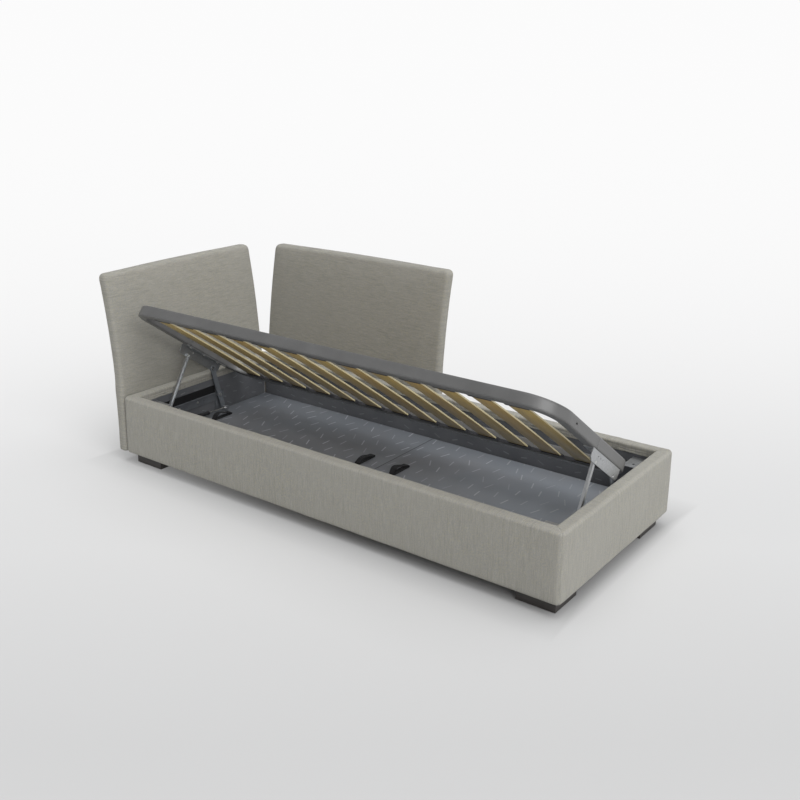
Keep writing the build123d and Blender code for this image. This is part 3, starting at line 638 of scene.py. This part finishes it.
def cover_section(drop):
    """Closed outline of a rail cover as (depth, height, is outside): up the lip, over the top, down the
    outside and under, and back along the board."""
    top, low = box_high.z, box_low.z
    lip_low, board_top = top - drop, top - board_drop
    outside = [(lip_depth, lip_low)]
    outside += run(outside[-1], (lip_depth, top - lip_round), lip_step)
    outside += arc((lip_depth - lip_round, top - lip_round), lip_round, 0, 90)
    outside += run(outside[-1], (top_round, top), top_step)
    outside += arc((top_round, top - top_round), top_round, 90, 180, steps=7)
    outside += run(outside[-1], (0, low + bottom_round))
    outside += arc((bottom_round, low + bottom_round), bottom_round, 180, 270, steps=4)
    outside += run(outside[-1], (pad_depth + fold_width, low))
    outside += [(pad_depth + fold_width, low)]
    lip_back = lip_depth - lip_gauge
    inside = [(pad_depth + fold_width, low + fold_height)]
    for corner in ((pad_depth, low + fold_height), (pad_depth, board_top), (lip_back, board_top)):
        inside += run(inside[-1], corner) + [corner]
    inside += [(lip_back, lip_low)]
    return [(*point, True) for point in outside] + [(*point, False) for point in inside]


def stations(half):
    """Places along a rail from end to end, with 0 at its middle, close together near the seams."""
    even = half - seam_stations[-1]
    count = round(even / cover_cell)
    from_end = seam_stations + [seam_stations[-1] + even * n / count for n in range(1, count + 1)]
    return [-half + distance for distance in from_end] + [half - distance for distance in from_end[-2::-1]]


def cover_swell(side, place):
    """How far the pad may stand out, none where a headboard presses on it."""
    if side == "left":
        return 0.0
    if side == "rear":
        return smooth_step(place + box_middle.x, headboard_end, headboard_end + press_fade)
    return 1.0


def padded_point(side, half, drop, place, along, depth, height):
    """Depth, distance from the rail's end and height of an outside point, with its round corner, seam,
    crown, waves and loose lip."""
    along_axis, _, outward = axes_of(side)
    seam = abs(half - depth - abs(along))
    calm = smooth_step(seam, 0.0, seam_calm)
    sag = seam_depth * math.exp(-((seam / seam_reach) ** 2))
    apart = Vector((0, along_seeds[along_axis], side_seed * outward))
    wave = noise.noise(Vector((place, depth, height)) * cover_wave_count + apart) * cover_wave
    pucker_place = (place * cover_pucker_counts[0], height * cover_pucker_counts[1], outward)
    pucker = noise.noise(Vector(pucker_place)) * cover_pucker
    level = min(1, max(0, (height - box_low.z) / (box_high.z - box_low.z)))
    deep, from_end = round_corner(depth, half - abs(along), corner_round)
    if depth < top_round:
        crown = cover_crown * math.sin(math.pi * level)
        deep += sag - cover_swell(side, place) * calm * (crown + wave + pucker)
        from_end += sag * smooth_step(seam, seam_pull, 0.0)
    top_share = smooth_step(height, box_high.z - top_band, box_high.z)
    high = height + top_share * (wave + pucker - sag * seam_dip_share)
    if depth > lip_depth - lip_round:
        ripple_place = (place * lip_ripple_count, lip_seeds[0], outward * lip_seeds[1])
        ripple = noise.noise(Vector(ripple_place)) * lip_ripple
        low_share = smooth_step(height, box_high.z, box_high.z - drop)
        deep += (ripple - lip_ripple * ripple_out_share) * low_share * calm
        if side in LOOSE_SIDES:
            turn = (height - box_high.z) / pleat_pitch
            pleat = math.sin(2 * math.pi * turn + pleat_shift * ripple / lip_ripple)
            full_share = smooth_step(low_share, pleat_start, pleat_full)
            deep -= pleat_depth * (1 + pleat) * full_share * calm
        high += ripple * ripple_rise_share * low_share * calm
    return deep, from_end, high


def rail_cover(side):
    """Padded cover of one side, mitred into its neighbours at a sewn seam."""
    along_axis, across_axis, outward = axes_of(side)
    half = (box_high[along_axis] - box_low[along_axis]) / 2
    face = (box_high if outward > 0 else box_low)[across_axis]
    drop = loose_lip_drop if side in LOOSE_SIDES else lip_drop
    section, places = cover_section(drop), stations(half)
    points, faces = [], []
    for place in places:
        for depth, height, outside in section:
            along = place / half * (half - depth)
            deep, from_end, high = depth, half - abs(along), height
            if outside:
                deep, from_end, high = padded_point(side, half, drop, place, along, depth, height)
            along = box_middle[along_axis] + (half - from_end) * (1 if along >= 0 else -1)
            points.append(placed(along_axis, along, face - outward * deep, high))
    count, last = len(section), len(section) * (len(places) - 1)
    for start in range(0, last, count):
        for n in range(count):
            a, b = start + n, start + (n + 1) % count
            faces.append((a, b, b + count, a + count))
    faces.append(tuple(range(count)))
    faces.append(tuple(reversed(range(last, last + count))))
    name = f"{side}_cover"
    piece = finish_mesh(f"{name}_upholstery", points, faces, finishes[name], "base")
    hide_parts(name)


# Headboards
def lean(depth, height):
    """How far out from the box a point of a headboard lies."""
    radius = lean_radius - depth
    angle = math.asin(max(0.0, height - lean_start) / radius)
    return headboard_gap + lean_radius - radius * math.cos(angle)


def outline_point(u, v, inset, half, low, high):
    """Point of the headboard's outline, drawn in by inset, for u and v from -1 to 1."""
    inner_half = half - inset
    across = u * inner_half
    top = high - headboard_rise * (across / half) ** 2 - inset
    height = low + inset + (v + 1) / 2 * (top - low - inset)
    from_side, from_top, from_low = inner_half - abs(across), top - height, height - low - inset
    if v < 0:
        hem = max(headboard_hem, inset + least_round) - inset
        round_side, round_low = round_corner(from_side, from_low, hem)
        height = low + inset + round_low
    else:
        round_side, round_top = round_corner(from_side, from_top, headboard_corner - inset)
        height = top - round_top
    return math.copysign(inner_half - round_side, across), height


def headboard_shell(half, low, high):
    """Closed padded slab as (across, height, depth) points and faces."""
    wide = max(2, round(2 * half / headboard_cell))
    tall = max(2, round((high - low) / headboard_cell))
    edge = headboard_edge
    front = [(edge - edge * math.sin(math.radians(a)), edge - edge * math.cos(math.radians(a)))
             for a in edge_angles]
    flat = [(0.0, edge + (headboard_depth - 2 * edge) * share) for share in (0.5, 1.0)]
    back = [(inset, headboard_depth - depth) for inset, depth in reversed(front[:-1])]
    rings = [(edge, 0.0)] + front + flat + back + [(edge, headboard_depth)]
    points, faces, index = [], [], {}

    def vertex(i, j, layer):
        key = (i, j, layer)
        if key not in index:
            inset, depth = rings[layer]
            across, height = outline_point(2 * i / wide - 1, 2 * j / tall - 1, inset, half, low, high)
            index[key] = len(points)
            points.append((across, height, depth))
        return index[key]

    last = len(rings) - 1
    for i in range(wide):
        for j in range(tall):
            faces.append((vertex(i, j, 0), vertex(i + 1, j, 0), vertex(i + 1, j + 1, 0), vertex(i, j + 1, 0)))
            faces.append((vertex(i, j, last), vertex(i, j + 1, last), vertex(i + 1, j + 1, last),
                          vertex(i + 1, j, last)))
    for here, there in rim_edges(wide, tall):
        for layer in range(last):
            faces.append((vertex(*here, layer), vertex(*here, layer + 1), vertex(*there, layer + 1),
                          vertex(*there, layer)))
    return points, faces


def inflate(piece, cap):
    """Blows the cover up as cloth above the box, with no point moved further than cap."""
    rest = np.array([vertex.co for vertex in piece.data.vertices])
    cloth = piece.modifiers.new("fill", "CLOTH")
    settings = cloth.settings
    settings.quality = 5
    settings.mass = 0.3
    settings.tension_stiffness = 15
    settings.compression_stiffness = 15
    settings.shear_stiffness = 5
    settings.bending_stiffness = 0.6
    settings.use_pressure = True
    settings.uniform_pressure_force = 4.0
    settings.effector_weights.gravity = 0
    cloth.collision_settings.use_collision = False
    for step in range(1, fill_frames + 1):
        scene.frame_set(step)
    settled = piece.evaluated_get(bpy.context.evaluated_depsgraph_get())
    swollen = np.array([vertex.co for vertex in settled.data.vertices])
    piece.modifiers.remove(cloth)
    scene.frame_set(1)
    move = swollen - rest
    length = np.linalg.norm(move, axis=1, keepdims=True)
    move *= np.minimum(1, cap / np.maximum(length, tiny))
    free = [[smooth_step(height, box_high.z + swell_start, box_high.z + swell_end)] for height in rest[:, 2]]
    piece.data.vertices.foreach_set("co", (rest + move * np.array(free)).astype(np.float32).ravel())
    piece.data.update()


def headboard(kind):
    """Leaning padded headboard, with its closing seam round the back edge."""
    node = f"headboard_{kind}_cover"
    low, high = corners(node)
    along_axis = 1 if kind == "end" else 0
    half = (high[along_axis] - low[along_axis]) / 2
    middle = (high[along_axis] + low[along_axis]) / 2
    shell, faces = headboard_shell(half, low.z, high.z)
    seam_place = headboard_depth - headboard_edge * groove_share
    fold_count, fold_deep_count = headboard_fold_counts
    pucker_count, pucker_deep_count = headboard_pucker_counts
    points = []
    for across, height, depth in shell:
        facing_box = depth < headboard_depth / 2
        edge_share = smooth_step(min(half - abs(across), high.z - height), pucker_reach, 0.0)
        fold = noise.noise(Vector((across * fold_count, height * fold_count,
                                   depth * fold_deep_count + half * headboard_seed))) * headboard_fold
        pucker = noise.noise(Vector((across * pucker_count, height * pucker_count,
                                     depth * pucker_deep_count))) * headboard_pucker * edge_share
        groove = groove_depth * math.exp(-(((depth - seam_place) / groove_reach) ** 2))
        free = smooth_step(height, box_high.z, box_high.z + pressed_fade) if facing_box else 1.0
        out = lean(depth, height) - (fold + pucker) * free * (1 if facing_box else -1)
        across -= math.copysign(groove, across) * (half - abs(across) < groove_side)
        height -= groove * (high.z - height < groove_top)
        place = box_low.x - out if kind == "end" else box_high.y + out
        points.append(placed(along_axis, middle + across, place, height))
    name = f"headboard_{kind}_upholstery"
    piece = finish_mesh(name, points, faces, finishes[node], "base")
    inflate(piece, headboard_swell)
    subdivide(piece)
    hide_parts(node)


# Linings
def lining(side):
    """Lining cloth on the inside of a rail, with shallow folds where it isn't stuck down."""
    node = f"{side}_lining"
    low, high = corners(node)
    along_axis, across_axis, outward = axes_of(side)
    back = (high if outward > 0 else low)[across_axis]
    length, height = high[along_axis] - low[along_axis], high.z - low.z
    columns, rows = round(length / lining_cell), round(height / lining_cell)
    points, faces = [], []
    for layer in (0, 1):
        for i in range(columns + 1):
            for j in range(rows + 1):
                along, z = low[along_axis] + length * i / columns, low.z + height * j / rows
                free = (smooth_step(min(i, columns - i), 0, held_columns)
                        * smooth_step(min(j, rows - j), 0, held_rows))
                fold_place = (along * lining_fold_counts[0] + z * lining_fold_counts[1],
                              z * lining_fold_counts[2], across_axis - outward * lining_seed)
                fold = max(0.0, noise.noise(Vector(fold_place)) + lining_slack_share)
                deep = lining_gauge * layer + lining_gap + fold * lining_ripple * free
                points.append(placed(along_axis, along, back - outward * deep, z))
    stride = rows + 1
    sheet_size = (columns + 1) * stride
    for i in range(columns):
        for j in range(rows):
            a = i * stride + j
            faces.append((a, a + 1, a + stride + 1, a + stride))
            faces.append(tuple(sheet_size + n for n in (a, a + stride, a + stride + 1, a + 1)))
    for (i, j), (i2, j2) in rim_edges(columns, rows):
        a, b = i * stride + j, i2 * stride + j2
        faces.append((a, b, b + sheet_size, a + sheet_size))
    kind = "lining_long" if side in LONG_SIDES else "lining_end"
    piece = finish_mesh(f"{side}_lining_cloth", points, faces, finishes[kind], "base")
    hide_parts(node)


# Pull loops
def strap_path(low, high):
    """Middle line of the folded strap as (y, z): along the floor, round the end and back in an arch."""
    base = low.z + strap_gauge / 2
    rise = high.z - low.z - strap_gauge - 2 * strap_bend
    end = high.y - strap_bend - strap_gauge / 2
    points = [(low.y + (end - low.y) * step / flat_steps, base) for step in range(flat_steps)]
    points += [(end + y, base + z) for y, z in arc((0, strap_bend), strap_bend, -90, 90, bend_steps)]
    for step in range(1, arch_steps + 1):
        share = step / arch_steps
        arch = math.sin(math.pi * share ** arch_skew) ** arch_power if share < 1 else 0.0
        apart = 2 * strap_bend + (strap_gauge - 2 * strap_bend) * smooth_step(share, fold_closing, 1.0)
        points.append((end + (low.y - end) * share, base + apart + rise * arch))
    return points


def pull_loop(side, place):
    """Folded webbing strap that stands in an arch and leans a little to one side."""
    node = f"pull_loop_{side}_{place}"
    low, high = corners(node)
    middle, half = (low.x + high.x) / 2, strap_width / 2
    lean_way = 1 if (side == "left") == (place == "middle") else -1
    line = strap_path(low, high)
    points, faces = [], []
    for i, (y, z) in enumerate(line):
        before, after = line[max(0, i - 1)], line[min(len(line) - 1, i + 1)]
        length = math.hypot(after[0] - before[0], after[1] - before[1])
        out_y, out_z = (after[1] - before[1]) / length, (before[0] - after[0]) / length
        aside = lean_way * strap_lean * (z - low.z) / (high.z - low.z)
        for j in range(width_steps + 1):
            over = 2 * j / width_steps - 1
            gauge = strap_gauge / 2 * (1 - edge_thinning * over ** edge_power)
            for layer in (-1, 1):
                points.append((middle + aside + over * half, y + out_y * layer * gauge,
                               max(low.z + strap_lift, z + out_z * layer * gauge)))
    stride, steps = 2 * (width_steps + 1), len(line) - 1
    for i in range(steps):
        for j in range(width_steps):
            a = i * stride + 2 * j
            faces.append((a, a + 2, a + 2 + stride, a + stride))
            faces.append((a + 1, a + 1 + stride, a + 3 + stride, a + 3))
        faces.append((i * stride, i * stride + stride, i * stride + stride + 1, i * stride + 1))
        last = i * stride + 2 * width_steps
        faces.append((last, last + 1, last + 1 + stride, last + stride))
    for i in (0, steps):
        for j in range(width_steps):
            a = i * stride + 2 * j
            faces.append((a, a + 1, a + 3, a + 2))
    piece = finish_mesh(f"{node}_webbing", points, faces, finishes["webbing"], f"{side}_panel")
    subdivide(piece)
    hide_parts(node)


# Dressing of the CAD parts
def dress(name, material, edge):
    """Gives a CAD part its material and, where edge isn't 0, a fine rounding of its sharp edges."""
    part = nodes[name]
    part.data.materials.clear()
    part.data.materials.append(material)
    for face in part.data.polygons:
        face.material_index = 0
    if edge:
        weld = part.modifiers.new("weld", "WELD")
        weld.merge_threshold = weld_distance
        bevel = part.modifiers.new("edge", "BEVEL")
        bevel.width = edge
        bevel.segments = 2
        bevel.limit_method = "ANGLE"
        bevel.angle_limit = sharp_angle
        bevel.harden_normals = True


SOFT_SLOTS = ("rail_fabric", "headboard_fabric", "lining_fabric", "webbing")
edge_rounding = {"board_wood": 0.0006, "foot_wood": 0.0008, "floor_laminate": 0.0005,
                 "dark_steel": 0.0004, "galvanised_steel": 0.0004, "slat_wood": 0.0009}
slots = {part["node"]: part["material_slot"] for part in frame["record"]["subparts"]}
for part_name in nodes:
    slot_name = slots[part_name]
    if slot_name not in SOFT_SLOTS:
        finish = "bracket" if part_name.startswith("base_bracket") else slot_name
        dress(part_name, finishes[finish], edge_rounding.get(slot_name, 0.0))

for box_side in LONG_SIDES + SHORT_SIDES:
    rail_cover(box_side)
    lining(box_side)
for headboard_kind in ("end", "side"):
    headboard(headboard_kind)
for panel_side in SHORT_SIDES:
    for loop_place in LOOP_PLACES:
        pull_loop(panel_side, loop_place)


# Studio
def studio():
    """Floor plane and backdrop."""
    reach = studio_reach
    mesh = bpy.data.meshes.new("studio_floor")
    mesh.from_pydata([(-reach, -reach, 0), (reach, -reach, 0), (reach, reach, 0), (-reach, reach, 0)], [],
                     [(0, 1, 2, 3)])
    ground = bpy.data.objects.new("studio_floor", mesh)
    scene.collection.objects.link(ground)
    ground.data.materials.append(studio_floor())
    world = bpy.data.worlds.new("studio")
    world.use_nodes = True
    tree = world.node_tree
    up = tree.nodes.new("ShaderNodeSeparateXYZ")
    tree.links.new(tree.nodes.new("ShaderNodeTexCoord").outputs["Generated"], up.inputs[0])
    ramp = tree.nodes.new("ShaderNodeValToRGB")
    tree.links.new(up.outputs[2], ramp.inputs[0])
    low, high = ramp.color_ramp.elements
    low.position, low.color = horizon_level, backdrop
    high.position, high.color = sky_level, sky
    tree.links.new(ramp.outputs[0], tree.nodes["Background"].inputs["Color"])
    scene.world = world


def soft_sun(name, towards, strength, spread):
    """Even, soft light from a direction, as from a large bank of lamps."""
    lamp = bpy.data.lights.new(name, "SUN")
    lamp.energy = strength
    lamp.angle = math.radians(spread)
    holder = bpy.data.objects.new(name, lamp)
    holder.rotation_euler = Vector(towards).to_track_quat("Z", "Y").to_euler()
    scene.collection.objects.link(holder)


def camera():
    """Camera at the photograph's place, worked out from the corners of the box."""
    data = bpy.data.cameras.new("camera")
    data.sensor_width = 36
    data.lens = 46.68
    data.shift_x = 0.0588
    data.shift_y = -0.0795
    data.clip_start, data.clip_end = 0.1, 200
    made = bpy.data.objects.new("camera", data)
    made.location = (2.4417, -3.2528, 1.8069)
    made.rotation_euler = (math.radians(90 - 15.963), 0, math.radians(38.259))
    scene.collection.objects.link(made)
    scene.camera = made


scene.view_settings.view_transform = "Standard"
studio()
soft_sun("key_right", (0.74, -0.38, 0.56), strength=2.1, spread=45)
soft_sun("top", (0.1, 0.1, 1.0), strength=1.85, spread=60)
camera()
